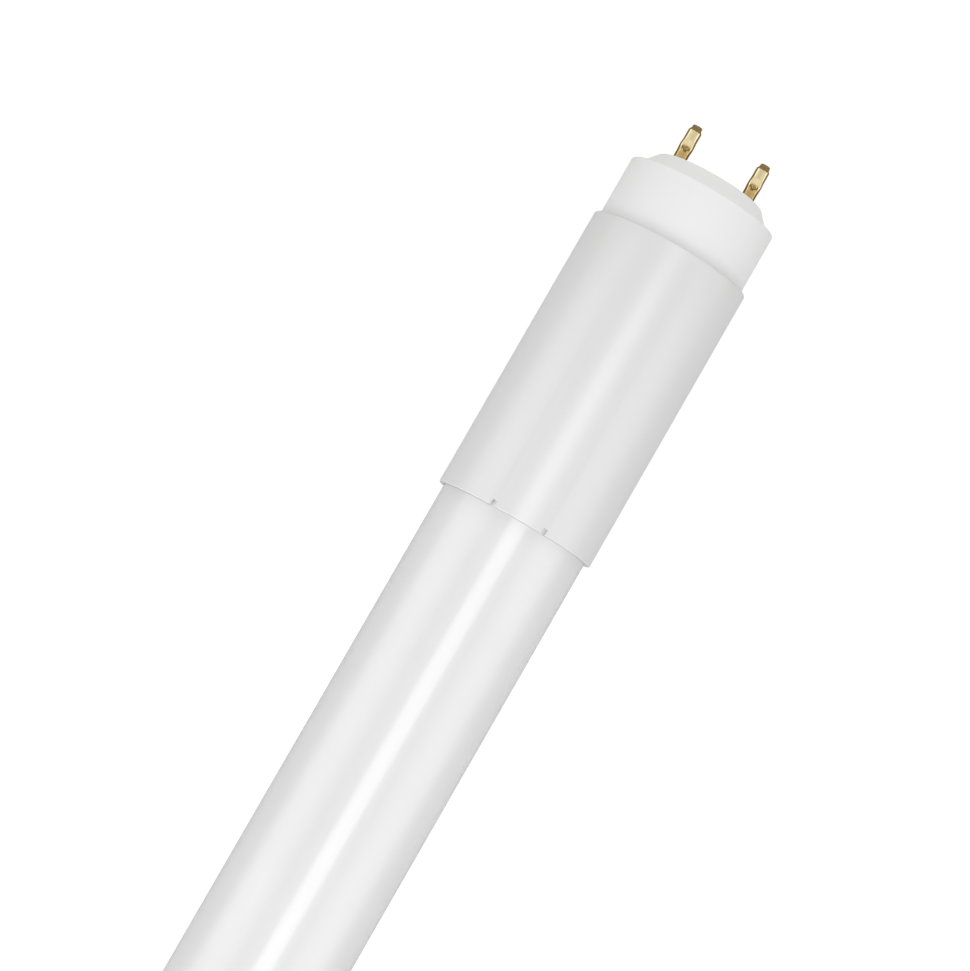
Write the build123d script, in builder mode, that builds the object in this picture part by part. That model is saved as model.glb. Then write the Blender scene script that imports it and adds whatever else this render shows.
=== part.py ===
from build123d import *
import os
from math import sqrt

# A glass LED tube lamp with a two-pin cap at each end, in millimetres
# X runs along the lamp and +X is the end that holds the driver
# Z points the way the lamp shines, and the origin is the middle of the tube

# Distance between the flat faces of the two caps
face_to_face = 589.8

# Glass tube, opal inside, with melted rims
tube_diameter = 26.0
tube_wall = 0.8
tube_rim_round = 0.3

# Plastic sleeve slid over the joint between glass and cap
sleeve_length = 50.6
sleeve_wall = 0.75
sleeve_edge_round = 0.35
sleeve_lip_round = 0.5
lip_bead_length = 1.2
lip_play = 0.05
notch_width = 0.85
notch_depth = 1.0
notch_angle = 19.4
glue_gap = 0.2
glue_length = 8.0
glue_inset = 2.0
glue_play = 0.03

# Moulded cap with a collar, a conical nose and a spigot that plugs the glass
collar_height = 10.65
collar_overlap = 4.5
collar_play = 0.1
collar_edge_round = 0.3
collar_shoulder = 1.3
nose_height = 2.8
nose_inset = 2.45
nose_edge_round = 0.4
face_thickness = 2.0
cap_wall = 1.3
spigot_length = 10.0
spigot_play = 0.1
spigot_lead = 0.4
boss_wall = 1.2
boss_height = 3.5

# Brass pins with a flange behind the boss, a wire cup in the tail and a crimp above the face
pin_spacing = 12.7
pin_length = 7.0
pin_diameter = 2.3
pin_play = 0.02
tip_diameter = 1.5
tip_height = 1.0
flange_diameter = 3.8
flange_thickness = 0.6
tail_diameter = 2.0
tail_length = 1.9
cup_depth = 2.2
crimp_height = 3.2
crimp_length = 2.6
crimp_width = 2.45
crimp_thickness = 2.15
dent_mouth_diameter = 1.9
dent_floor_diameter = 0.3
dent_depth = 0.5

# Insulated hook-up wire
wire_diameter = 0.8
wire_play = 0.05
wire_bend = 1.5
wire_landing = 2.4
wire_setback = 0.3

# Light strip on the floor of the glass
strip_width = 10.0
strip_thickness = 0.8
strip_play = 0.05
strip_end_gap = 0.7
led_pitch = 9.5
led_length = 2.8
led_width = 3.5
led_height = 0.7
led_rim = 0.45
led_well_depth = 0.3

# Driver board, held between ledges in the spigot and by the insulation tube
board_level = -4.5
board_thickness = 1.0
board_play = 0.1
board_inset = 1.5
board_end_margin = 1.0
ledge_thickness = 1.2
ledge_reach = 1.0
insulation_wall = 0.3
insulation_play = 0.1
insulation_margin = 1.0
component_gap = 1.0

# Driver components, in their order from the pins
resistor_diameter = 2.4
resistor_length = 6.5
resistor_lead_diameter = 0.6
resistor_lead_reach = 0.9
rectifier_length = 4.7
rectifier_width = 3.9
rectifier_height = 2.5
film_thickness = 4.0
film_width = 11.0
film_height = 9.0
film_round = 0.5
bulk_diameter = 8.0
bulk_height = 11.5
core_width = 10.2
core_height = 9.0
core_depth = 4.0
core_yoke = 1.6
core_limb = 2.4
winding_play = 0.1
winding_build = 2.1
winding_round = 0.8
output_diameter = 5.0
output_height = 9.0
can_edge_bevel = 0.4
can_groove_height = 1.6
can_groove_depth = 0.3
chip_length = 4.9
chip_width = 3.9
chip_height = 1.5
output_pad_spacing = 7.2
lead_rise = 3.0
lead_reach = 3.2

# Fuse that bridges the two pins of the far end
fuse_diameter = 2.6
fuse_length = 6.4
fuse_depth = 14.0

# Radii that follow from the values above
half_face = face_to_face / 2
tube_radius = tube_diameter / 2
tube_bore_radius = tube_radius - tube_wall
sleeve_bore_radius = tube_radius + glue_gap
sleeve_radius = sleeve_bore_radius + sleeve_wall
collar_radius = sleeve_bore_radius - collar_play
nose_base_radius = collar_radius - collar_shoulder
nose_top_radius = nose_base_radius - nose_inset
spigot_radius = tube_bore_radius - spigot_play
spigot_bore_radius = spigot_radius - cap_wall
pin_radius = pin_diameter / 2
pin_offset = pin_spacing / 2
wire_radius = wire_diameter / 2
cup_radius = wire_radius + wire_play
insulation_radius = tube_bore_radius - insulation_play
insulation_bore_radius = insulation_radius - insulation_wall

# Depths behind the cap face
sleeve_top_depth = nose_height + collar_height
sleeve_lip_depth = sleeve_top_depth + sleeve_length
tube_end_depth = sleeve_top_depth + collar_overlap
spigot_end_depth = tube_end_depth + spigot_length
boss_end_depth = face_thickness + boss_height
flange_end_depth = boss_end_depth + flange_thickness
board_start_depth = tube_end_depth + board_inset
input_pad_depth = board_start_depth + wire_landing
resistor_reach = resistor_length / 2 + resistor_lead_reach
resistor_depth = input_pad_depth + wire_radius + component_gap + resistor_reach
resistor_end_depth = resistor_depth + resistor_reach
film_depth = resistor_end_depth + component_gap + film_thickness / 2
bulk_depth = film_depth + film_thickness / 2 + component_gap + bulk_diameter / 2
winding_depth_size = core_depth + 2 * (winding_play + winding_build)
core_centre_depth = bulk_depth + bulk_diameter / 2 + component_gap + winding_depth_size / 2
output_depth = core_centre_depth + winding_depth_size / 2 + component_gap + output_diameter / 2
board_end_depth = output_depth + output_diameter / 2 + board_end_margin
insulation_end_depth = board_end_depth + insulation_margin
strip_start_depth = insulation_end_depth + strip_end_gap


def half_width(radius, level):
    # Half the width of a round bore at a level above its centre
    return sqrt(radius**2 - level**2)


# Half the width of the board's narrow end, and where a component beside its edge sits
tongue_half_width = half_width(spigot_bore_radius, board_level) - board_play


def side_row(width):
    return tongue_half_width - ledge_reach - component_gap / 2 - width / 2


# Levels inside the tube
board_top = board_level + board_thickness
strip_floor = -half_width(tube_bore_radius, strip_width / 2) + strip_play
strip_top = strip_floor + strip_thickness

os.makedirs("parts", exist_ok=True)


def save(piece, name):
    piece.part.label = name
    export_step(piece.part, f"parts/{name}.step")


def section(depth, facing=1):
    # Plane across the lamp at a depth behind a cap face, looking out of that end
    return Plane(origin=(facing * (half_face - depth), 0, 0), x_dir=(0, 1, 0), z_dir=(facing, 0, 0))


# Glass tube
tube_length = face_to_face - 2 * tube_end_depth
with BuildPart() as opal_tube:
    with BuildSketch(Plane.YZ.offset(-tube_length / 2)):
        Circle(tube_radius)
        Circle(tube_bore_radius, mode=Mode.SUBTRACT)
    extrude(amount=tube_length)
    fillet(
        opal_tube.edges().filter_by(GeomType.CIRCLE),
        radius=min(tube_rim_round, 0.45 * tube_wall),
    )
save(opal_tube, "opal_tube")

# Sleeve over the driver end, with a bead in its lip that closes the gap to the glass,
# and two notches in the lip beside the light's direction
with BuildPart() as driver_end_sleeve:
    with BuildSketch(section(sleeve_lip_depth)):
        Circle(sleeve_radius)
        Circle(tube_radius + lip_play, mode=Mode.SUBTRACT)
    extrude(amount=sleeve_length)
    with BuildSketch(section(sleeve_lip_depth - lip_bead_length)):
        Circle(sleeve_bore_radius)
    extrude(amount=sleeve_length, mode=Mode.SUBTRACT)
    lip_rims = driver_end_sleeve.edges().group_by(Axis.X)[0]
    fillet(lip_rims.sort_by(SortBy.RADIUS)[-1], radius=min(sleeve_lip_round, 0.7 * sleeve_wall))
    upper_rims = driver_end_sleeve.edges().group_by(Axis.X)[-1]
    fillet(upper_rims.sort_by(SortBy.RADIUS)[-1], radius=min(sleeve_edge_round, 0.6 * sleeve_wall))
    with BuildSketch(section(sleeve_lip_depth)):
        with PolarLocations(
            sleeve_bore_radius + sleeve_wall / 2,
            count=2,
            start_angle=90 - notch_angle,
            angular_range=2 * notch_angle,
            endpoint=True,
        ):
            Rectangle(3 * sleeve_wall, notch_width)
    extrude(amount=notch_depth, mode=Mode.SUBTRACT)
save(driver_end_sleeve, "driver_end_sleeve")

# Ring of glue between glass and sleeve
with BuildPart() as driver_end_glue:
    with BuildSketch(section(tube_end_depth + glue_inset + glue_length)):
        Circle(sleeve_bore_radius - glue_play)
        Circle(tube_radius + glue_play, mode=Mode.SUBTRACT)
    extrude(amount=glue_length)
save(driver_end_glue, "driver_end_glue")

# Cap of the driver end
with BuildPart() as driver_end_cap:
    cavity_top_radius = nose_top_radius - cap_wall
    with BuildSketch(Plane.XY):
        with BuildLine():
            Polyline(
                (half_face, 0),
                (half_face, nose_top_radius),
                (half_face - nose_height, nose_base_radius),
                (half_face - nose_height, collar_radius),
                (half_face - tube_end_depth, collar_radius),
                (half_face - tube_end_depth, spigot_radius),
                (half_face - spigot_end_depth, spigot_radius),
                (half_face - spigot_end_depth, spigot_bore_radius),
                (half_face - face_thickness - nose_height, spigot_bore_radius),
                (half_face - face_thickness, cavity_top_radius),
                (half_face - face_thickness, 0),
                close=True,
            )
        make_face()
    revolve(axis=Axis.X)
    fillet(driver_end_cap.edges().group_by(Axis.X)[-1], radius=nose_edge_round)
    cap_rims = driver_end_cap.edges().filter_by(lambda rim: rim.geom_type == GeomType.CIRCLE)
    collar_rims = cap_rims.filter_by(lambda rim: abs(rim.radius - collar_radius) < 0.001)
    fillet(collar_rims.sort_by(Axis.X)[-1], radius=min(collar_edge_round, 0.45 * collar_shoulder))
    spigot_rims = cap_rims.filter_by(lambda rim: abs(rim.radius - spigot_radius) < 0.001)
    chamfer(spigot_rims.sort_by(Axis.X)[0], length=min(spigot_lead, 0.45 * cap_wall))
    with BuildSketch(section(boss_end_depth)):
        with GridLocations(pin_spacing, 0, 2, 1):
            Circle(pin_radius + pin_play + boss_wall)
    extrude(amount=boss_height + face_thickness / 2)
    with BuildSketch(section(spigot_end_depth)):
        ledge_levels = [
            (0, board_level - ledge_thickness / 2),
            (0, board_top + board_play + ledge_thickness / 2),
        ]
        with Locations(ledge_levels):
            Rectangle(2 * spigot_radius, ledge_thickness)
        Circle(spigot_bore_radius + cap_wall / 2, mode=Mode.INTERSECT)
        Rectangle(2 * (tongue_half_width - ledge_reach), 2 * spigot_radius, mode=Mode.SUBTRACT)
    extrude(amount=spigot_end_depth - board_start_depth)
    with Locations(section(0)):
        with GridLocations(pin_spacing, 0, 2, 1):
            Hole(pin_radius + pin_play, depth=boss_end_depth)
save(driver_end_cap, "driver_end_cap")

# The far end carries the same mouldings
for shown_piece, far_name in (
    (driver_end_sleeve, "far_end_sleeve"),
    (driver_end_glue, "far_end_glue"),
    (driver_end_cap, "far_end_cap"),
):
    with BuildPart() as far_piece:
        mirror(shown_piece.part, about=Plane.YZ)
    save(far_piece, far_name)

# One brass pin, standing on the cap face with its tail below
crimp_start = crimp_height - crimp_length / 2
crimp_end = crimp_height + crimp_length / 2
tail_end = -flange_end_depth - tail_length
wire_end_depth = flange_end_depth + tail_length - cup_depth + wire_setback
with BuildPart() as pin_blank:
    with BuildSketch(Plane.XZ):
        with BuildLine():
            Polyline(
                (0, tail_end),
                (tail_diameter / 2, tail_end),
                (tail_diameter / 2, -flange_end_depth),
                (flange_diameter / 2, -flange_end_depth),
                (flange_diameter / 2, -boss_end_depth),
                (pin_radius, -boss_end_depth),
                (pin_radius, crimp_start),
                (0, crimp_start),
                close=True,
            )
        make_face()
    revolve(axis=Axis.Z)
    with BuildSketch(Plane.XZ):
        with BuildLine():
            Polyline(
                (0, crimp_end),
                (pin_radius, crimp_end),
                (pin_radius, pin_length - tip_height),
                (tip_diameter / 2, pin_length),
                (0, pin_length),
                close=True,
            )
        make_face()
    revolve(axis=Axis.Z)
    with BuildSketch(Plane.XY.offset(crimp_start)):
        Circle(pin_radius)
    with BuildSketch(Plane.XY.offset(crimp_height)):
        Ellipse(crimp_width / 2, crimp_thickness / 2)
    with BuildSketch(Plane.XY.offset(crimp_end)):
        Circle(pin_radius)
    loft()
    with Locations((0, 0, tail_end)):
        Cylinder(
            cup_radius,
            cup_depth,
            align=(Align.CENTER, Align.CENTER, Align.MIN),
            mode=Mode.SUBTRACT,
        )
    for side in (-1, 1):
        dent_face = Plane(
            origin=(0, side * pin_radius, crimp_height), x_dir=(1, 0, 0), z_dir=(0, side, 0)
        )
        with Locations(dent_face):
            Cone(
                dent_floor_diameter / 2,
                dent_mouth_diameter / 2,
                dent_depth,
                align=(Align.CENTER, Align.CENTER, Align.MAX),
                mode=Mode.SUBTRACT,
            )

for end_name, facing in (("driver_end", 1), ("far_end", -1)):
    for hand, sideways in (("left", 1), ("right", -1)):
        with BuildPart() as pin:
            with Locations(section(0, facing)):
                with Locations((sideways * pin_offset, 0)):
                    add(pin_blank.part)
        save(pin, f"{end_name}_pin_{hand}")

# Light strip, glued to the floor of the glass
strip_length = face_to_face - 2 * strip_start_depth
strip_plane = Plane.XY.offset(strip_floor)
with BuildPart() as led_strip_board:
    with BuildSketch(strip_plane):
        Rectangle(strip_length, strip_width)
    extrude(amount=strip_thickness)
save(led_strip_board, "led_strip_board")

with BuildPart() as strip_adhesive:
    with BuildSketch(Plane.YZ.offset(-strip_length / 2)):
        with Locations((0, strip_floor)):
            Rectangle(strip_width, tube_bore_radius, align=(Align.CENTER, Align.MAX))
        Circle(tube_bore_radius - glue_play, mode=Mode.INTERSECT)
    extrude(amount=strip_length)
save(strip_adhesive, "strip_adhesive")

led_count = int((strip_length - led_length) / led_pitch)
with BuildPart() as led_packages:
    with BuildSketch(Plane.XY.offset(strip_top)):
        with GridLocations(led_pitch, 0, led_count, 1):
            Rectangle(led_length, led_width)
    extrude(amount=led_height)
    with BuildSketch(Plane.XY.offset(strip_top + led_height)):
        with GridLocations(led_pitch, 0, led_count, 1):
            Rectangle(led_length - 2 * led_rim, led_width - 2 * led_rim)
    extrude(amount=-led_well_depth, mode=Mode.SUBTRACT)
save(led_packages, "led_packages")

# Driver board, narrow where it enters the cap and as wide as the insulation tube beyond it
tongue_width = 2 * tongue_half_width
board_width = 2 * (half_width(insulation_bore_radius, board_level) - board_play)
with BuildPart() as driver_board:
    with BuildSketch(Plane.XY.offset(board_level)):
        with Locations((half_face - board_start_depth, 0)):
            Rectangle(
                board_end_depth - board_start_depth, tongue_width, align=(Align.MAX, Align.CENTER)
            )
        with Locations((half_face - spigot_end_depth - board_play, 0)):
            Rectangle(
                board_end_depth - spigot_end_depth - board_play,
                board_width,
                align=(Align.MAX, Align.CENTER),
            )
    extrude(amount=board_thickness)
save(driver_board, "driver_board")

# Tube of film that keeps the driver clear of the glass
with BuildPart() as driver_insulation:
    with BuildSketch(section(insulation_end_depth)):
        Circle(insulation_radius)
        Circle(insulation_bore_radius, mode=Mode.SUBTRACT)
    extrude(amount=insulation_end_depth - spigot_end_depth)
save(driver_insulation, "driver_insulation")


def board_spot(depth, sideways=0.0):
    # Plane on top of the driver board at a depth behind the cap face
    return Plane(origin=(half_face - depth, sideways, board_top))


# Fusible resistor in line with the live pin, on leads bent down to the board
resistor_height = resistor_diameter / 2
resistor_row = side_row(resistor_diameter)
with BuildPart() as fuse_resistor:
    axis_plane = Plane(
        origin=(half_face - resistor_depth, resistor_row, board_top + resistor_height),
        x_dir=(0, 1, 0),
        z_dir=(1, 0, 0),
    )
    with Locations(axis_plane):
        Cylinder(resistor_diameter / 2, resistor_length)
    chamfer(fuse_resistor.edges().filter_by(GeomType.CIRCLE), length=0.15 * resistor_diameter)
    with Locations(axis_plane):
        Cylinder(resistor_lead_diameter / 2, resistor_length + 2 * resistor_lead_reach)
    for way in (-1, 1):
        lead_x = half_face - resistor_depth + way * (resistor_length / 2 + resistor_lead_reach)
        with Locations((lead_x - way * resistor_lead_diameter / 2, resistor_row, board_top)):
            Cylinder(
                resistor_lead_diameter / 2,
                resistor_height,
                align=(Align.CENTER, Align.CENTER, Align.MIN),
            )
save(fuse_resistor, "fuse_resistor")

# Bridge rectifier on the neutral side
with BuildPart() as bridge_rectifier:
    with BuildSketch(board_spot(resistor_depth, -side_row(rectifier_width))):
        Rectangle(rectifier_length, rectifier_width)
    extrude(amount=rectifier_height)
    chamfer(bridge_rectifier.faces().sort_by(Axis.Z)[-1].edges(), length=0.1 * rectifier_height)
save(bridge_rectifier, "bridge_rectifier")

# Film capacitor across the board
with BuildPart() as film_capacitor:
    with BuildSketch(board_spot(film_depth)):
        Rectangle(film_thickness, film_width)
    extrude(amount=film_height)
    fillet(
        film_capacitor.edges().filter_by(Axis.Z), radius=min(film_round, 0.4 * film_thickness)
    )
    fillet(
        film_capacitor.faces().sort_by(Axis.Z)[-1].edges(),
        radius=min(film_round, 0.4 * film_thickness) / 2,
    )
save(film_capacitor, "film_capacitor")


def electrolytic_can(depth, diameter, height):
    # Aluminium can with a rolled groove above its seal
    upright = Plane(origin=(half_face - depth, 0, board_top), x_dir=(1, 0, 0), z_dir=(0, -1, 0))
    radius = diameter / 2
    with BuildPart() as can:
        with BuildSketch(upright):
            with BuildLine():
                Polyline(
                    (0, 0),
                    (radius, 0),
                    (radius, can_groove_height - can_groove_depth),
                    (radius - can_groove_depth, can_groove_height),
                    (radius, can_groove_height + can_groove_depth),
                    (radius, height - can_edge_bevel),
                    (radius - can_edge_bevel, height),
                    (0, height),
                    close=True,
                )
            make_face()
        revolve(axis=Axis(upright.origin, (0, 0, 1)))
    return can


save(electrolytic_can(bulk_depth, bulk_diameter, bulk_height), "bulk_capacitor")
save(electrolytic_can(output_depth, output_diameter, output_height), "output_capacitor")

# Controller chip on the wiring side of the board
with BuildPart() as controller_chip:
    with BuildSketch(Plane(origin=(half_face - bulk_depth, 0, board_level))):
        Rectangle(chip_width, chip_length)
    extrude(amount=-chip_height)
    chamfer(controller_chip.faces().sort_by(Axis.Z)[0].edges(), length=0.15 * chip_height)
save(controller_chip, "controller_chip")

# Transformer: a ferrite core with two windows, and the winding round its middle limb
core_plane = Plane(
    origin=(half_face - core_centre_depth, 0, board_top), x_dir=(0, 1, 0), z_dir=(1, 0, 0)
)
window_width = (core_width - core_limb - 2 * core_yoke) / 2
window_height = core_height - 2 * core_yoke
window_shift = core_limb / 2 + window_width / 2
with BuildPart() as transformer_core:
    with BuildSketch(core_plane):
        with Locations((0, core_height / 2)):
            Rectangle(core_width, core_height)
            with Locations((-window_shift, 0), (window_shift, 0)):
                Rectangle(window_width, window_height, mode=Mode.SUBTRACT)
    extrude(amount=core_depth / 2, both=True)
save(transformer_core, "transformer_core")

with BuildPart() as transformer_winding:
    with BuildSketch(board_spot(core_centre_depth).offset(core_yoke)):
        winding_side = min(window_width - 2 * winding_play, winding_build)
        RectangleRounded(
            core_depth + 2 * (winding_play + winding_build),
            core_limb + 2 * (winding_play + winding_side),
            min(winding_round, 0.4 * core_limb),
        )
        Rectangle(core_depth + 2 * winding_play, core_limb + 2 * winding_play, mode=Mode.SUBTRACT)
    extrude(amount=window_height)
save(transformer_winding, "transformer_winding")


def wire_along(name, points):
    # Insulated wire through points, with an even bend at each corner
    with BuildPart() as wire:
        with BuildLine() as route:
            FilletPolyline(*points, radius=wire_bend)
        with BuildSketch(Plane(origin=route.line @ 0, z_dir=route.line % 0)):
            Circle(wire_radius)
        sweep(path=route.line)
    save(wire, name)


# Mains wires, crimped in the pins and soldered to the driver board
for name, sideways in (("live_wire", pin_offset), ("neutral_wire", -pin_offset)):
    wire_along(
        name,
        [
            (half_face - wire_end_depth, sideways, 0),
            (half_face - input_pad_depth, sideways, 0),
            (half_face - input_pad_depth, sideways, board_top),
        ],
    )

# Low-voltage leads from the driver board over its end to the light strip
lead_start = half_face - output_depth
lead_end = half_face - strip_start_depth - lead_reach
for name, sideways in (
    ("strip_positive_lead", output_pad_spacing / 2),
    ("strip_negative_lead", -output_pad_spacing / 2),
):
    wire_along(
        name,
        [
            (lead_start, sideways, board_top),
            (lead_start, sideways, board_top + lead_rise),
            (lead_end, sideways, board_top + lead_rise),
            (lead_end, sideways, strip_top),
        ],
    )

# Fuse across the far pins, hung on a wire from each of them
fuse_x = -half_face + fuse_depth
with BuildPart() as far_end_fuse:
    with Locations(Plane(origin=(fuse_x, 0, 0), x_dir=(1, 0, 0), z_dir=(0, 1, 0))):
        Cylinder(fuse_diameter / 2, fuse_length)
    chamfer(far_end_fuse.edges().filter_by(GeomType.CIRCLE), length=0.1 * fuse_diameter)
save(far_end_fuse, "far_end_fuse")

for name, sideways in (("far_end_wire_left", 1), ("far_end_wire_right", -1)):
    wire_along(
        name,
        [
            (-half_face + wire_end_depth, sideways * pin_offset, 0),
            (fuse_x, sideways * pin_offset, 0),
            (fuse_x, sideways * fuse_length / 2, 0),
        ],
    )
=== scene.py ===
from math import cos, pi, radians, sin, sqrt

import bmesh
import bpy
from mathutils import Matrix, Vector


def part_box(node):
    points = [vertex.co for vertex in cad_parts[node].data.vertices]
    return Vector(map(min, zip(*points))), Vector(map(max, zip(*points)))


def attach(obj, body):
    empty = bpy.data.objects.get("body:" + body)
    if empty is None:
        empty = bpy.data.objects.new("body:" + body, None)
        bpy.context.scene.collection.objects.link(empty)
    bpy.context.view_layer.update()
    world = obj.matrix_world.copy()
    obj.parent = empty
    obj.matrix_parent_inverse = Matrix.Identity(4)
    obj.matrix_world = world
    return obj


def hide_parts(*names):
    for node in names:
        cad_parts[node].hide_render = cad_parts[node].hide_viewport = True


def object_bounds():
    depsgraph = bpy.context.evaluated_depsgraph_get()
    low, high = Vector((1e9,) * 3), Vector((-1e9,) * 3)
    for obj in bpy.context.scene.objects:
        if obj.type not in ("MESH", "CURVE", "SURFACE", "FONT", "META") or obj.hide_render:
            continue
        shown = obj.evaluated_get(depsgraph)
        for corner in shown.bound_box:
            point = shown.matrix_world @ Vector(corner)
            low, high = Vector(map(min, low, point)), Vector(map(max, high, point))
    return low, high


# A glass LED tube lamp with a two-pin cap at each end, in metres: X along it, Z the way it shines
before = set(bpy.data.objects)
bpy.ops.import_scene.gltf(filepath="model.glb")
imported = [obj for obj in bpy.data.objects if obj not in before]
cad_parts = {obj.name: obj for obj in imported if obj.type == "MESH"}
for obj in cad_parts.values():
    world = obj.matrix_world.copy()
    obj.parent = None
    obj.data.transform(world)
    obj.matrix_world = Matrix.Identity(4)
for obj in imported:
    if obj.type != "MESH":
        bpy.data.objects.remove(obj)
cad_low, cad_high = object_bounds()

MM = 0.001
ROUND_SIDES = 256
PIN_SIDES = 96
SMOOTH_ANGLE = radians(32)
# Two places nearer to each other than this count as one
SLACK = 0.01 * MM
# A face looks along the lamp when this much of its normal does
FACING = 0.9

# Places and sizes that the frame gives
tube_low, tube_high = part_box("opal_tube")
tube_end = tube_high.x
tube_radius = tube_high.y
sleeve_low, sleeve_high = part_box("driver_end_sleeve")
sleeve_lip = sleeve_low.x
sleeve_top = sleeve_high.x
sleeve_radius = sleeve_high.y
cap_low, cap_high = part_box("driver_end_cap")
cap_face = cap_high.x
spigot_end = cap_low.x
collar_radius = cap_high.y
pin_low, pin_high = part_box("driver_end_pin_left")
pin_tip = pin_high.x
pin_tail = pin_low.x
pin_offset = (pin_low.y + pin_high.y) / 2
floor_level = cad_low.z

# Glass tube and plastic sleeve
glass_wall = 0.8 * MM
glass_rim_round = 0.3 * MM
sleeve_wall = 0.75 * MM
sleeve_edge_round = 0.35 * MM
sleeve_lip_round = 0.2 * MM
lip_bead_length = 1.2 * MM
lip_play = 0.05 * MM
notch_width = 0.85 * MM
notch_depth = 1.0 * MM
notch_angle = radians(19.4)

# Moulded cap
collar_edge_round = 0.3 * MM
collar_shoulder = 1.3 * MM
nose_height = 2.8 * MM
nose_inset = 2.45 * MM
nose_edge_round = 0.4 * MM
face_thickness = 2.0 * MM
cap_wall = 1.3 * MM
spigot_radius = 12.1 * MM
spigot_lead = 0.4 * MM
boss_wall = 1.2 * MM
boss_height = 3.5 * MM
ledge_thickness = 1.2 * MM
ledge_reach = 1.0 * MM
ledge_lap = 0.9 * MM
board_level = -4.5 * MM
board_slot = 1.1 * MM
board_start = 1.5 * MM

# Brass pin
pin_radius = 1.15 * MM
pin_play = 0.02 * MM
flange_radius = 1.9 * MM
flange_thickness = 0.6 * MM
tail_radius = 1.0 * MM
cup_radius = 0.45 * MM
cup_depth = 2.2 * MM
tip_height = 1.0 * MM
tip_shoulder = 0.45 * MM
shoulder_radius = 0.87 * MM
tip_radius = 0.82 * MM
tip_round = 0.15 * MM
crimp_height = 3.2 * MM
crimp_length = 2.6 * MM
crimp_width = 2.45 * MM
crimp_thickness = 1.98 * MM
dent_start = 2.2 * MM
dent_bottom = 2.85 * MM
dent_end = 3.2 * MM
dent_half_width = 0.72 * MM
dent_depth = 0.36 * MM
dent_clear_level = 0.1 * MM
ring_spacing = 0.08 * MM


def focus(piece):
    # Leaves only this piece selected and active
    bpy.ops.object.select_all(action="DESELECT")
    piece.select_set(True)
    bpy.context.view_layer.objects.active = piece


def named(name):
    # Gives the new object its name and puts its place into its mesh
    piece = bpy.context.object
    piece.name = piece.data.name = name
    bpy.ops.object.transform_apply(location=True, rotation=True, scale=True)
    return piece


def round_bar(name, start, end, radius, sides=ROUND_SIDES, across=(0, 0)):
    # Solid round bar along X between two places
    bpy.ops.object.select_all(action="DESELECT")
    bpy.ops.mesh.primitive_cylinder_add(
        vertices=sides,
        radius=radius,
        depth=end - start,
        location=((start + end) / 2, *across),
        rotation=(0, pi / 2, 0),
    )
    return named(name)


def block(name, centre, size):
    # Square-edged block
    bpy.ops.object.select_all(action="DESELECT")
    bpy.ops.mesh.primitive_cube_add(size=1, location=centre)
    bpy.context.object.scale = size
    return named(name)


def edit(piece, kind):
    # Opens a piece in edit mode with nothing selected
    focus(piece)
    bpy.ops.object.mode_set(mode="EDIT")
    bpy.ops.mesh.select_mode(type=kind)
    bpy.ops.mesh.select_all(action="DESELECT")


def done():
    bpy.ops.object.mode_set(mode="OBJECT")


def pick_faces(piece, test):
    # Selects the faces whose middle and normal pass a test
    mesh = bmesh.from_edit_mesh(piece.data)
    for face in mesh.faces:
        face.select_set(test(face.calc_center_median(), face.normal))
    bmesh.update_edit_mesh(piece.data)


def pick_ring(piece, place, radius):
    # Selects the edges of one circle round the lamp's axis
    mesh = bmesh.from_edit_mesh(piece.data)
    for edge in mesh.edges:
        edge.select_set(
            all(
                abs(end.co.x - place) < SLACK and abs(Vector(end.co.yz).length - radius) < SLACK
                for end in edge.verts
            )
        )
    bmesh.update_edit_mesh(piece.data)


def round_ring(piece, place, radius, amount, steps=5):
    # Rounds the edge along one circle
    edit(piece, "EDGE")
    pick_ring(piece, place, radius)
    bpy.ops.mesh.bevel(offset=amount, segments=steps, affect="EDGES")
    done()


def combine(piece, tool, operation):
    # Adds or cuts a tool shape, then deletes it
    joiner = piece.modifiers.new("combine", "BOOLEAN")
    joiner.operation = operation
    joiner.solver = "EXACT"
    joiner.object = tool
    focus(piece)
    bpy.ops.object.modifier_apply(modifier=joiner.name)
    bpy.data.objects.remove(tool)


def smooth(piece):
    focus(piece)
    bpy.ops.object.shade_smooth_by_angle(angle=SMOOTH_ANGLE)


def turned_copy(piece, name):
    # The same piece at the other end of the lamp, turned half round the upright axis
    focus(piece)
    bpy.ops.object.duplicate()
    bpy.context.object.rotation_euler.z = pi
    return named(name)


def hollow(piece, wall):
    # Bores a bar from end to end
    edit(piece, "FACE")
    pick_faces(piece, lambda middle, normal: abs(normal.x) > FACING)
    bpy.ops.mesh.inset(thickness=wall, use_individual=True)
    bpy.ops.mesh.bridge_edge_loops()
    done()


def make_tube():
    # Glass tube with fire-polished rims
    tube = round_bar("glass_tube", tube_low.x, tube_high.x, tube_radius)
    hollow(tube, glass_wall)
    for place in (tube_low.x, tube_high.x):
        round_ring(tube, place, tube_radius, glass_rim_round)
        round_ring(tube, place, tube_radius - glass_wall, glass_rim_round)
    smooth(tube)
    return tube


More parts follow.
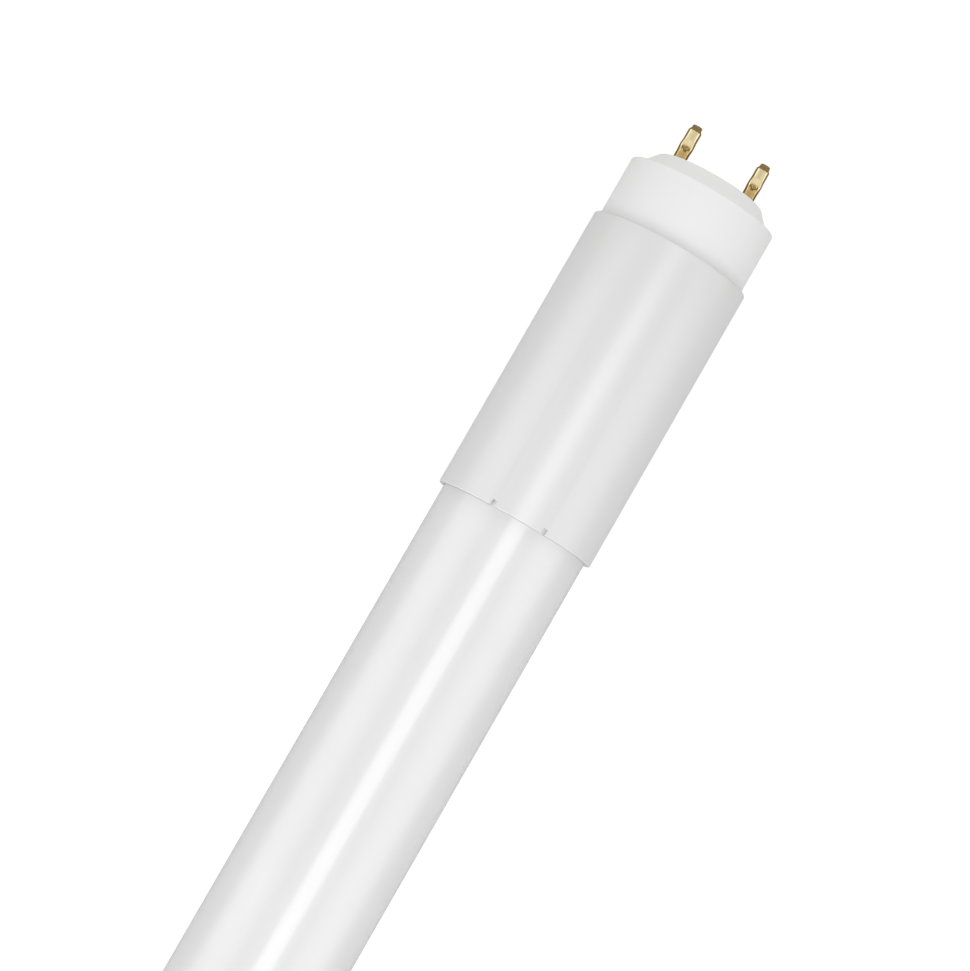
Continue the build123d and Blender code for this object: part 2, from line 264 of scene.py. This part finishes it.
def make_sleeve():
    # Sleeve with round rims, a bead in its lip that nearly meets the glass, and two notches there
    sleeve = round_bar("driver_sleeve", sleeve_lip, sleeve_top, sleeve_radius)
    hollow(sleeve, sleeve_radius - tube_radius - lip_play)
    bore_start = sleeve_lip + lip_bead_length
    bore = round_bar("bore", bore_start, sleeve_top + MM, sleeve_radius - sleeve_wall)
    combine(sleeve, bore, "DIFFERENCE")
    round_ring(sleeve, sleeve_top, sleeve_radius, sleeve_edge_round)
    round_ring(sleeve, sleeve_lip, sleeve_radius, sleeve_lip_round)
    middle_radius = sleeve_radius - sleeve_wall / 2
    for side in (-1, 1):
        angle = side * notch_angle
        centre = (sleeve_lip, middle_radius * sin(angle), middle_radius * cos(angle))
        bpy.ops.object.select_all(action="DESELECT")
        bpy.ops.mesh.primitive_cube_add(size=1, location=centre, rotation=(-angle, 0, 0))
        bpy.context.object.scale = (2 * notch_depth, notch_width, 3 * sleeve_wall)
        combine(sleeve, named("notch_cutter"), "DIFFERENCE")
    smooth(sleeve)
    return sleeve


def push(distance):
    # Extrudes the selected face along the lamp
    bpy.ops.mesh.extrude_region_move(TRANSFORM_OT_translate={"value": (distance, 0, 0)})


def shrink(factor, other=None):
    # Scales the selected ring across the lamp
    bpy.ops.transform.resize(value=(1, factor, other or factor))


def make_cap():
    # Cap with a collar, a conical nose, a spigot for the glass and a boss behind each pin
    nose_base_radius = collar_radius - collar_shoulder
    nose_top_radius = nose_base_radius - nose_inset
    bore_radius = spigot_radius - cap_wall
    nose_base = cap_face - nose_height
    cap = round_bar("driver_cap", tube_end, nose_base, collar_radius)
    edit(cap, "FACE")
    pick_faces(cap, lambda middle, normal: normal.x > FACING)
    bpy.ops.mesh.inset(thickness=collar_shoulder)
    push(nose_height)
    shrink(nose_top_radius / nose_base_radius)
    pick_faces(cap, lambda middle, normal: normal.x < -FACING)
    bpy.ops.mesh.inset(thickness=collar_radius - spigot_radius)
    push(spigot_end - tube_end)
    bpy.ops.mesh.inset(thickness=cap_wall)
    push(nose_base - face_thickness - spigot_end)
    push(nose_height)
    shrink((nose_top_radius - cap_wall) / bore_radius)
    done()
    round_ring(cap, cap_face, nose_top_radius, nose_edge_round)
    round_ring(cap, nose_base, collar_radius, collar_edge_round)
    round_ring(cap, spigot_end, spigot_radius, spigot_lead, 1)
    hole_radius = pin_radius + pin_play
    boss_end = cap_face - face_thickness - boss_height
    for side in (-1, 1):
        across = (side * pin_offset, 0)
        boss_top = cap_face - face_thickness / 2
        boss = round_bar("boss", boss_end, boss_top, hole_radius + boss_wall, PIN_SIDES, across)
        combine(cap, boss, "UNION")
    bore_half_width = half_width(bore_radius, board_level)
    ledge_width = 2 * ledge_reach
    ledge_middle = bore_half_width + ledge_lap - ledge_reach
    ledge_start = tube_end - board_start
    ledge_centre = (ledge_start + spigot_end) / 2
    for level in (
        board_level - ledge_thickness / 2,
        board_level + board_slot + ledge_thickness / 2,
    ):
        for side in (-1, 1):
            place = Vector((ledge_centre, side * ledge_middle, level))
            size = (ledge_start - spigot_end, ledge_width, ledge_thickness)
            combine(cap, block("ledge", place, size), "UNION")
    for side in (-1, 1):
        across = (side * pin_offset, 0)
        drill = round_bar(
            "drill", boss_end - MM, cap_face + MM, hole_radius, PIN_SIDES, across
        )
        combine(cap, drill, "DIFFERENCE")
    smooth(cap)
    return cap


def half_width(radius, level):
    # Half the width of a round bore at a level above its centre
    return sqrt(radius**2 - level**2)


def swell(height):
    # Share of the crimp's full squeeze at a height above the cap face
    along = (height - crimp_height) / (crimp_length / 2)
    return (1 + cos(pi * along)) / 2 if abs(along) < 1 else 0


def dent(height, sideways):
    # Depth of the punched dent at a spot on the pin, with a lower rim that points down the pin
    across = abs(sideways) / dent_half_width
    lower_rim = dent_start + across * (dent_bottom - dent_start)
    if across >= 1 or height <= lower_rim or height >= dent_end:
        return 0
    down = (height - lower_rim) / (dent_bottom - dent_start)
    back = (dent_end - height) / (dent_end - dent_bottom)
    return dent_depth * min(down, back)


def make_pin():
    # Brass pin turned with a flange, then squeezed and dented where the wire is crimped
    flange_top = cap_face - face_thickness - boss_height
    flange_end = flange_top - flange_thickness
    pin = round_bar("driver_pin_left", pin_tail, flange_end, tail_radius, PIN_SIDES)
    edit(pin, "FACE")
    pick_faces(pin, lambda middle, normal: normal.x > FACING)
    bpy.ops.mesh.extrude_region_move()
    shrink(flange_radius / tail_radius)
    push(flange_thickness)
    bpy.ops.mesh.extrude_region_move()
    shrink(pin_radius / flange_radius)
    push(boss_height + face_thickness)
    height = 0
    wide = tall = pin_radius
    straight = pin_tip - cap_face - tip_height
    rings = round(straight / ring_spacing)
    for ring in range(rings):
        step = straight / rings
        height += step
        new_wide = pin_radius + (crimp_width / 2 - pin_radius) * swell(height)
        new_tall = pin_radius + (crimp_thickness / 2 - pin_radius) * swell(height)
        push(step)
        shrink(new_wide / wide, new_tall / tall)
        wide, tall = new_wide, new_tall
    push(tip_shoulder)
    shrink(shoulder_radius / pin_radius)
    push(tip_height - tip_shoulder)
    shrink(tip_radius / shoulder_radius)
    pick_faces(pin, lambda middle, normal: normal.x < -FACING and middle.x < pin_tail + SLACK)
    bpy.ops.mesh.inset(thickness=tail_radius - cup_radius)
    push(cup_depth)
    done()
    for corner in pin.data.vertices:
        depth = dent(corner.co.x - cap_face, corner.co.y)
        if depth and abs(corner.co.z) > dent_clear_level:
            corner.co.z -= depth if corner.co.z > 0 else -depth
    round_ring(pin, pin_tip, tip_radius, tip_round, 4)
    edit(pin, "VERT")
    bpy.ops.mesh.select_all(action="SELECT")
    bpy.ops.transform.translate(value=(0, pin_offset, 0))
    done()
    smooth(pin)
    return pin


def beside(piece, name, shift):
    # A copy of a piece moved across the lamp
    focus(piece)
    bpy.ops.object.duplicate()
    bpy.context.object.location.y = shift
    return named(name)


def linear(code):
    # Turns an sRGB hex colour into the linear values that a shader takes
    values = [int(code[i : i + 2], 16) / 255 for i in (0, 2, 4)]
    return [v / 12.92 if v <= 0.04045 else ((v + 0.055) / 1.055) ** 2.4 for v in values] + [1]


def add_node(tree, kind, settings=(), links=()):
    # Adds a shader node, gives it its settings and links its inputs
    node = tree.nodes.new(kind)
    for name, value in dict(settings).items():
        if name in node.inputs:
            node.inputs[name].default_value = value
        else:
            setattr(node, name, value)
    for name, source in dict(links).items():
        tree.links.new(source, node.inputs[name])
    return node


def new_material(name, code, settings):
    # A material with one surface shader of a given colour
    material = bpy.data.materials.new(name)
    material.use_nodes = True
    tree = material.node_tree
    shader = tree.nodes["Principled BSDF"]
    shader.inputs["Base Color"].default_value = linear(code)
    for socket, value in settings.items():
        shader.inputs[socket].default_value = value
    return material, tree, shader


def object_noise(tree, stretch, detail=2.0):
    # Noise on the piece's own coordinates, with a grain size in millimetres along each axis
    place = add_node(tree, "ShaderNodeTexCoord")
    scale = [1 / (size * MM) for size in stretch]
    mapping = add_node(
        tree, "ShaderNodeMapping", {"Scale": scale}, {"Vector": place.outputs["Object"]}
    )
    return add_node(
        tree,
        "ShaderNodeTexNoise",
        {"Scale": 1.0, "Detail": detail},
        {"Vector": mapping.outputs["Vector"]},
    )


def relief(tree, shader, noise, depth, socket="Normal"):
    # Bump from a noise, with its depth in millimetres
    bump = add_node(
        tree,
        "ShaderNodeBump",
        {"Strength": 1.0, "Distance": depth * MM},
        {"Height": noise.outputs["Fac"]},
    )
    tree.links.new(bump.outputs["Normal"], shader.inputs[socket])


def tone(tree, shader, noise, dark, light):
    # Lets a noise move the colour between two near tones
    ramp = add_node(tree, "ShaderNodeValToRGB", {}, {"Fac": noise.outputs["Fac"]})
    ramp.color_ramp.elements[0].position = 0.35
    ramp.color_ramp.elements[0].color = linear(dark)
    ramp.color_ramp.elements[1].position = 0.65
    ramp.color_ramp.elements[1].color = linear(light)
    tree.links.new(ramp.outputs["Color"], shader.inputs["Base Color"])


def blend(tree, shader, share, first, second):
    # Goes from one colour to another as a share goes from 0 to 1
    mix = add_node(tree, "ShaderNodeMix", {"data_type": "RGBA"}, {"Factor": share})
    mix.inputs["A"].default_value = linear(first)
    mix.inputs["B"].default_value = linear(second)
    tree.links.new(mix.outputs["Result"], shader.inputs["Base Color"])


def blend_along(tree, shader, start, end, first, second):
    # Changes one colour into another along the lamp, in the same way at both ends
    place = add_node(tree, "ShaderNodeTexCoord")
    parts = add_node(tree, "ShaderNodeSeparateXYZ", {}, {"Vector": place.outputs["Object"]})
    along = add_node(tree, "ShaderNodeMath", {"operation": "ABSOLUTE"}, {0: parts.outputs["X"]})
    share = add_node(
        tree,
        "ShaderNodeMapRange",
        {"From Min": start, "From Max": end},
        {"Value": along.outputs[0]},
    )
    blend(tree, shader, share.outputs["Result"], first, second)


def opal_glass():
    # Drawn glass over an opal powder coat: a clear skin with a sharp shine on a white, matt depth
    material, tree, shader = new_material(
        "opal_glass",
        "e4e4e4",
        {
            "Roughness": 0.4,
            "IOR": 1.5,
            "Coat Weight": 1.0,
            "Coat Roughness": 0.14,
            "Coat IOR": 1.52,
        },
    )
    drawn_lines = object_noise(tree, (120, 4, 4), 1.0)
    relief(tree, shader, drawn_lines, 0.01, "Coat Normal")
    powder = object_noise(tree, (14, 9, 9), 3.0)
    tone(tree, shader, powder, "e3e3e3", "e5e5e5")
    return material


def sleeve_polycarbonate():
    # Extruded polycarbonate, satin: a broad soft shine, faint lines along it, and painted shade on
    # the lip's end face
    material, tree, shader = new_material(
        "sleeve_polycarbonate", "dedede", {"Roughness": 0.3, "IOR": 1.58}
    )
    # Painted shade: the lip's end face is coloured a darker grey to stand in for the shade it sits
    # in
    painted_shade_end = sleeve_lip + 0.02 * MM
    white_start = sleeve_lip + 0.05 * MM
    blend_along(tree, shader, painted_shade_end, white_start, "c4c4c4", "dedede")
    lines = object_noise(tree, (60, 1.2, 1.2), 2.0)
    relief(tree, shader, lines, 0.004)
    return material


def cap_polyester():
    # Moulded glass-filled polyester, matt from a spark-eroded mould
    material, tree, shader = new_material(
        "cap_polyester", "ececec", {"Roughness": 0.62, "IOR": 1.55}
    )
    grain = object_noise(tree, (0.25, 0.25, 0.25), 3.0)
    relief(tree, shader, grain, 0.008)
    return material


def pin_brass():
    # Drawn brass wire, bright, with fine drawing lines along the pin, and a painted darker, browner
    # reflection below the crimp
    material, tree, shader = new_material(
        "pin_brass", "d9caa0", {"Metallic": 1.0, "Roughness": 0.13}
    )
    # Painted reflection: the brass is darker and browner from the cap face up to the crimp, to
    # stand in for the dim surroundings it mirrors there
    painted_reflection_end = cap_face + 1.8 * MM
    bright_start = cap_face + 3.4 * MM
    blend_along(tree, shader, painted_reflection_end, bright_start, "b89d68", "d9caa0")
    lines = object_noise(tree, (3.0, 0.06, 0.06), 2.0)
    relief(tree, shader, lines, 0.0015)
    return material


def inner_finish(name, dark, light, settings, grain, depth):
    # Finish of a piece inside the lamp: two near tones and a fine relief
    material, tree, shader = new_material(name, light, settings)
    noise = object_noise(tree, grain, 3.0)
    tone(tree, shader, noise, dark, light)
    relief(tree, shader, noise, depth)
    return material


def led_resin():
    # White reflector frames round wells of yellow phosphor resin
    material, tree, shader = new_material("led_resin", "f2f0ea", {"Roughness": 0.35})
    pitch, half_length, half_across = 9.5 * MM, 0.95 * MM, 1.3 * MM
    place = add_node(tree, "ShaderNodeTexCoord")
    parts = add_node(tree, "ShaderNodeSeparateXYZ", {}, {"Vector": place.outputs["Object"]})
    shifted = add_node(tree, "ShaderNodeMath", {"operation": "ADD"}, {0: parts.outputs["X"]})
    shifted.inputs[1].default_value = pitch / 2
    folded = add_node(tree, "ShaderNodeMath", {"operation": "PINGPONG"}, {0: shifted.outputs[0]})
    folded.inputs[1].default_value = pitch / 2
    along = add_node(tree, "ShaderNodeMath", {"operation": "LESS_THAN"}, {0: folded.outputs[0]})
    along.inputs[1].default_value = half_length
    width = add_node(tree, "ShaderNodeMath", {"operation": "ABSOLUTE"}, {0: parts.outputs["Y"]})
    across = add_node(tree, "ShaderNodeMath", {"operation": "LESS_THAN"}, {0: width.outputs[0]})
    across.inputs[1].default_value = half_across
    inside = add_node(
        tree,
        "ShaderNodeMath",
        {"operation": "MULTIPLY"},
        {0: along.outputs[0], 1: across.outputs[0]},
    )
    blend(tree, shader, inside.outputs[0], "f2f0ea", "ecd25a")
    return material


def paint(node, material):
    # Gives a frame piece its finish
    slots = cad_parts[node].data.materials
    slots.clear()
    slots.append(material)


def finish_piece(piece, node, material):
    # Gives a modelled piece its finish and its place on the lamp
    piece.data.materials.clear()
    piece.data.materials.append(material)
    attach(piece, "root")
    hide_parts(node)


# Outer pieces
glass = opal_glass()
polycarbonate = sleeve_polycarbonate()
polyester = cap_polyester()
brass = pin_brass()
finish_piece(make_tube(), "opal_tube", glass)
driver_sleeve = make_sleeve()
far_sleeve = turned_copy(driver_sleeve, "far_sleeve")
finish_piece(driver_sleeve, "driver_end_sleeve", polycarbonate)
finish_piece(far_sleeve, "far_end_sleeve", polycarbonate)
driver_cap = make_cap()
far_cap = turned_copy(driver_cap, "far_cap")
finish_piece(driver_cap, "driver_end_cap", polyester)
finish_piece(far_cap, "far_end_cap", polyester)
driver_pin_left = make_pin()
driver_pin_right = beside(driver_pin_left, "driver_pin_right", -2 * pin_offset)
far_pin_left = turned_copy(driver_pin_right, "far_pin_left")
far_pin_right = turned_copy(driver_pin_left, "far_pin_right")
finish_piece(driver_pin_left, "driver_end_pin_left", brass)
finish_piece(driver_pin_right, "driver_end_pin_right", brass)
finish_piece(far_pin_left, "far_end_pin_left", brass)
finish_piece(far_pin_right, "far_end_pin_right", brass)

# Pieces inside the glass keep their shape from the frame
silicone = inner_finish("silicone_glue", "d4d4d0", "dededa", {"Roughness": 0.45}, (2, 2, 2), 0.03)
for node in ("driver_end_glue", "far_end_glue", "strip_adhesive"):
    paint(node, silicone)
paint(
    "led_strip_board",
    inner_finish(
        "lacquered_aluminium", "eaeaea", "f2f2f2", {"Roughness": 0.4}, (1.5, 1.5, 1.5), 0.01
    ),
)
paint("led_packages", led_resin())
paint(
    "driver_board",
    inner_finish("glass_laminate", "b8ae7c", "c9c092", {"Roughness": 0.4}, (0.5, 0.5, 0.5), 0.01),
)
paint(
    "driver_insulation",
    inner_finish("polyester_film", "dcdcd4", "e6e6e0", {"Roughness": 0.2}, (20, 3, 3), 0.02),
)
paint(
    "fuse_resistor",
    inner_finish("cement_coat", "4c7058", "5c8068", {"Roughness": 0.7}, (0.3, 0.3, 0.3), 0.03),
)
epoxy = inner_finish("moulded_epoxy", "1c1c1c", "242424", {"Roughness": 0.6}, (0.1, 0.1, 0.1), 0.01)
paint("bridge_rectifier", epoxy)
paint("controller_chip", epoxy)
paint(
    "film_capacitor",
    inner_finish("capacitor_box", "c88a2a", "d29634", {"Roughness": 0.35}, (1, 1, 1), 0.01),
)
can = inner_finish(
    "drawn_can", "b4b4b8", "c4c4c8", {"Metallic": 1.0, "Roughness": 0.3}, (0.1, 0.1, 4), 0.003
)
paint("bulk_capacitor", can)
paint("output_capacitor", can)
paint(
    "transformer_core",
    inner_finish("sintered_ferrite", "303032", "3c3c3e", {"Roughness": 0.75}, (0.2,) * 3, 0.02),
)
paint(
    "transformer_winding",
    inner_finish("winding_tape", "d6b634", "e2c444", {"Roughness": 0.25}, (6, 6, 0.5), 0.02),
)
for node, name, dark, light in (
    ("live_wire", "brown_insulation", "5c3820", "684228"),
    ("neutral_wire", "blue_insulation", "24489a", "2c52a6"),
    ("strip_positive_lead", "red_insulation", "a81e18", "b62822"),
    ("strip_negative_lead", "black_insulation", "1c1c1c", "262626"),
):
    paint(node, inner_finish(name, dark, light, {"Roughness": 0.45}, (1, 0.3, 0.3), 0.01))
white_insulation = inner_finish(
    "white_insulation", "dededa", "e8e8e4", {"Roughness": 0.45}, (1, 0.3, 0.3), 0.01
)
paint("far_end_wire_left", white_insulation)
paint("far_end_wire_right", white_insulation)
paint(
    "far_end_fuse",
    inner_finish("fuse_ceramic", "d6cfc0", "e0dacc", {"Roughness": 0.4}, (0.6,) * 3, 0.01),
)


def white_to_camera(tree, seen, lit):
    # Shows one shader to the camera, to metal and to glass, and lights the lamp with the other
    path = add_node(tree, "ShaderNodeLightPath")
    glossy = add_node(
        tree,
        "ShaderNodeMath",
        {"operation": "ADD"},
        {0: path.outputs["Is Camera Ray"], 1: path.outputs["Is Glossy Ray"]},
    )
    either = add_node(
        tree,
        "ShaderNodeMath",
        {"operation": "ADD", "use_clamp": True},
        {0: glossy.outputs[0], 1: path.outputs["Is Transmission Ray"]},
    )
    return add_node(
        tree, "ShaderNodeMixShader", {}, {0: either.outputs[0], 1: lit, 2: seen}
    )


# Surroundings: even grey light for the lamp, plain white to the camera
ambient_level = 0.7
world = bpy.data.worlds.new("studio")
bpy.context.scene.world = world
world.use_nodes = True
world_tree = world.node_tree
world_tree.nodes.clear()
sky = add_node(world_tree, "ShaderNodeBackground", {"Color": (1, 1, 1, 1), "Strength": 1.0})
room = add_node(
    world_tree, "ShaderNodeBackground", {"Color": (1, 1, 1, 1), "Strength": ambient_level}
)
shown_world = white_to_camera(world_tree, sky.outputs[0], room.outputs[0])
add_node(world_tree, "ShaderNodeOutputWorld", {}, {"Surface": shown_world.outputs[0]})

# Floor: white paper that keeps a faint shadow of the lamp
floor_size = 12.0
paper_seen = 0.94
paper_shade = 0.12
paper_bounce = 0.78
bpy.ops.object.select_all(action="DESELECT")
bpy.ops.mesh.primitive_plane_add(size=floor_size, location=(0, 0, floor_level))
floor = bpy.context.object
floor.name = "floor"
paper = bpy.data.materials.new("white_paper")
paper.use_nodes = True
paper_tree = paper.node_tree
paper_tree.nodes.clear()
glow = add_node(paper_tree, "ShaderNodeEmission", {"Strength": paper_seen})
shade = add_node(paper_tree, "ShaderNodeBsdfDiffuse", {"Color": (paper_shade,) * 3 + (1,)})
seen_paper = add_node(
    paper_tree, "ShaderNodeAddShader", {}, {0: glow.outputs[0], 1: shade.outputs[0]}
)
bounce = add_node(paper_tree, "ShaderNodeBsdfDiffuse", {"Color": (paper_bounce,) * 3 + (1,)})
shown_paper = white_to_camera(paper_tree, seen_paper.outputs[0], bounce.outputs[0])
add_node(paper_tree, "ShaderNodeOutputMaterial", {}, {"Surface": shown_paper.outputs[0]})
floor.data.materials.append(paper)


def reflect_only(thing):
    # Keeps a light, a cloth or a card out of everything but shines
    thing.visible_camera = False
    thing.visible_diffuse = False
    thing.visible_transmission = False
    thing.visible_volume_scatter = False
    thing.visible_shadow = False


def cloth(name, code, low, high):
    # Cloth stretched between two corners, which only shines see
    low, high = Vector(low), Vector(high)
    piece = block(name, (low + high) / 2, high - low)
    material = bpy.data.materials.new(name)
    material.use_nodes = True
    shader = material.node_tree.nodes["Principled BSDF"]
    shader.inputs["Base Color"].default_value = linear(code)
    shader.inputs["Roughness"].default_value = 0.9
    piece.data.materials.append(material)
    reflect_only(piece)


# Cloths under the lamp and pins and a screen before each end, for the shines in glass and brass
cloth_half_width = 0.15
cloth_thickness = 0.1 * MM
cloth_gap = 0.2 * MM
screen_distance = 0.06
pin_cloth_start = cap_face + cloth_gap
pin_cloth_end = cap_face + screen_distance
screen_height = 0.22
cloth(
    "grey_cloth",
    "d4d4d4",
    (-cap_face, -cloth_half_width, floor_level + cloth_thickness),
    (cap_face, cloth_half_width, floor_level + 2 * cloth_thickness),
)
for name, near, far in (
    ("brown_cloth_driver_end", pin_cloth_start, pin_cloth_end),
    ("brown_cloth_far_end", -pin_cloth_end, -pin_cloth_start),
):
    cloth(
        name,
        "8e7c5c",
        (near, -cloth_half_width, floor_level + cloth_thickness),
        (far, cloth_half_width, floor_level + 2 * cloth_thickness),
    )
for name, code, place in (
    ("brown_screen", "8a7b67", pin_cloth_end),
    ("grey_screen", "d4d4d4", -pin_cloth_end),
):
    cloth(
        name,
        code,
        (place, -cloth_half_width, floor_level),
        (place + cloth_thickness, cloth_half_width, floor_level + screen_height),
    )

# Cards over the pins, which keep the key light's shine off them
card_height = 0.035
for name, level, start, end, inner, outer in (
    # Brightness, then the reach past the cap face and the reach sideways in millimetres
    ("middle_card", 0.9, 4, 15, 0, 18),
    ("side_card", 1.04, 4, 30, 18, 400),
    ("near_card", 1.1, -6, 4, 0, 400),
):
    white = bpy.data.materials.new(name)
    white.use_nodes = True
    card_tree = white.node_tree
    card_tree.nodes.clear()
    shine = add_node(card_tree, "ShaderNodeEmission", {"Strength": level})
    add_node(card_tree, "ShaderNodeOutputMaterial", {}, {"Surface": shine.outputs[0]})
    along = cap_face + (start + end) / 2 * MM
    across = (inner + outer) / 2 * MM
    for end_sign in (-1, 1):
        for side_sign in (-1, 1):
            bpy.ops.object.select_all(action="DESELECT")
            bpy.ops.mesh.primitive_plane_add(
                size=1, location=(end_sign * along, side_sign * across, card_height)
            )
            bpy.context.object.scale = ((end - start) * MM, (outer - inner) * MM, 1)
            card = named(name)
            card.data.materials.append(white)
            reflect_only(card)


def softbox(name, length, width, level, place, turn):
    # Flat rectangular light of an even brightness, with its length along X before it is turned
    light = bpy.data.lights.new(name, "AREA")
    light.shape = "RECTANGLE"
    light.size = length
    light.size_y = width
    light.energy = pi * length * width * level
    holder = bpy.data.objects.new(name, light)
    holder.location = place
    holder.rotation_euler = turn
    bpy.context.scene.collection.objects.link(holder)
    return holder


# Long softboxes over the lamp, at angles from upright towards -Y, which only shines see
key_level = 2.7
side_level = 0.85
side_core_level = 0.4
softbox_start = -1.2
softbox_end = 0.62
softbox_middle = (softbox_start + softbox_end) / 2
softbox_length = softbox_end - softbox_start
softbox_distance = 1.1
for name, angle, width, level in (
    ("key_softbox", radians(5.5), 0.46, key_level),
    ("left_softbox", radians(-64), 1.1, side_level),
    ("right_softbox", radians(64), 1.1, side_level),
    ("left_softbox_core", radians(-66), 0.6, side_core_level),
    ("right_softbox_core", radians(66), 0.6, side_core_level),
):
    place = (softbox_middle, -softbox_distance * sin(angle), softbox_distance * cos(angle))
    reflect_only(softbox(name, softbox_length, width, level, place, (angle, 0, 0)))

# Soft lights low behind and before the driver end, which only matt surfaces see
end_angle = radians(25)
end_distance = 1.5
end_height = 0.9
end_width = 1.6
for name, way, level in (("back_softbox", -1, 2.9), ("front_softbox", 1, 1.3)):
    place = (cap_face + way * end_distance * cos(end_angle), 0, end_distance * sin(end_angle))
    turn = (0, way * (pi / 2 - end_angle), 0)
    light = softbox(name, end_height, end_width, level, place, turn)
    light.visible_camera = False
    light.visible_glossy = False
    light.visible_transmission = False

# Flag before the far end, unseen itself, which keeps the back light off the far cap
flag_distance = 0.035
flag_level = 0.023
flag_height = 0.072
flag_width = 0.14
bpy.ops.object.select_all(action="DESELECT")
bpy.ops.mesh.primitive_plane_add(
    size=1, location=(-cap_face - flag_distance, 0, flag_level), rotation=(0, pi / 2, 0)
)
bpy.context.object.scale = (flag_height, flag_width, 1)
flag = named("far_end_flag")
reflect_only(flag)
flag.visible_glossy = False
flag.visible_shadow = True

# Camera: looks down on the driver end, with the lamp leaning over to the right in the picture
camera_place = Vector((0.19084, 0.0037, 0.6))
camera_target = Vector((0.23394, 0.0072, 0))
picture_slant = radians(60)
lens_length = 138.4
camera = bpy.data.cameras.new("camera")
camera.lens = lens_length
camera.sensor_width = 36
camera.clip_start = 0.01
camera_stand = bpy.data.objects.new("camera", camera)
bpy.context.scene.collection.objects.link(camera_stand)
forward = (camera_target - camera_place).normalized()
lengthways = (Vector((1, 0, 0)) - forward * forward.x).normalized()
sideways = forward.cross(lengthways)
right = cos(picture_slant) * lengthways + sin(picture_slant) * sideways
up = sin(picture_slant) * lengthways - cos(picture_slant) * sideways
facing = Matrix((right, up, -forward)).transposed().to_4x4()
camera_stand.matrix_world = Matrix.Translation(camera_place) @ facing
bpy.context.scene.camera = camera_stand
bpy.context.scene.view_settings.view_transform = "Standard"
